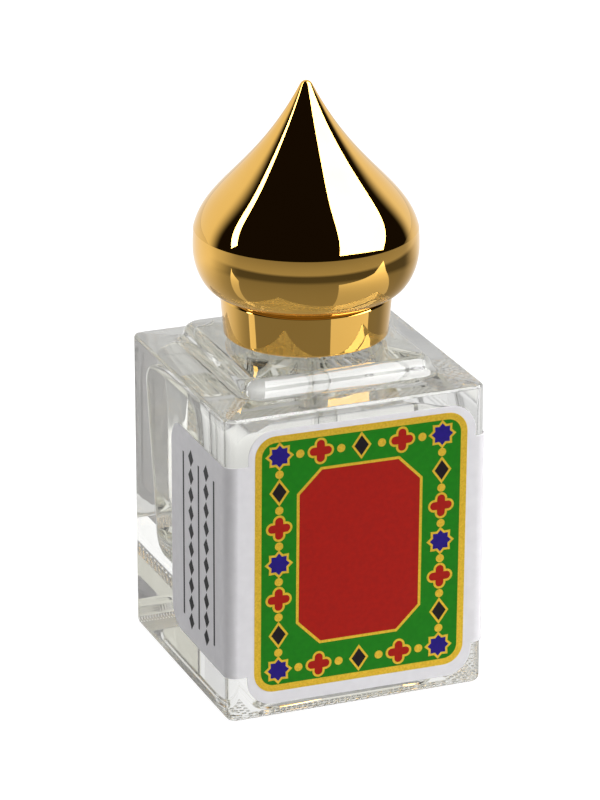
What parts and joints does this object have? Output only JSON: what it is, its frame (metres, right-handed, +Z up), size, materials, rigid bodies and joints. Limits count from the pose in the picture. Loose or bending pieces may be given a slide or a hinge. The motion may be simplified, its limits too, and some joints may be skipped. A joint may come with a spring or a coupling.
{
  "type": "perfume oil bottle",
  "caption": "Square heavy-walled glass bottle for perfume oil, with a gold onion-dome screw cap, a dabber rod in the neck and a printed wrap label.",
  "frame": {"origin": "centre of the base, on the surface that the bottle stands on", "axes": "+Z up along the neck's axis, -Y out of the label's front panel"},
  "size_m": [0.0288, 0.0286, 0.0631],
  "materials": {
    "clear_glass": "clear pressed glass, polished",
    "oil": "clear oil with a faint straw tint",
    "plug_plastic": "natural polyethylene, satin",
    "label_paper": "coated white label stock, printed, with gold foil lines",
    "rod_plastic": "clear acrylic, polished",
    "liner_foam": "white foam",
    "gold": "mirror-bright gold metallising on plastic",
    "insert_plastic": "white polypropylene, satin"
  },
  "bodies": {
    "bottle": {"glass_bottle": "clear_glass", "neck_plug": "plug_plastic", "perfume_oil": "oil", "wrap_label": "label_paper"},
    "applicator": {"applicator_rod": "rod_plastic", "seal_liner": "liner_foam"},
    "cap": {"cap_bowl": "gold", "dome_shell": "gold", "threaded_insert": "insert_plastic"}
  },
  "joints": [
    {"name": "cap_lift", "type": "slide", "parent": "bottle", "child": "applicator", "axis": [0, 0, 1], "range_m": [0, 0.04]},
    {"name": "cap_turn", "type": "hinge", "parent": "applicator", "child": "cap", "pos_m": [0, 0, 0.0363], "axis": [0, 0, 1], "range_deg": [0, 540]}
  ]
}
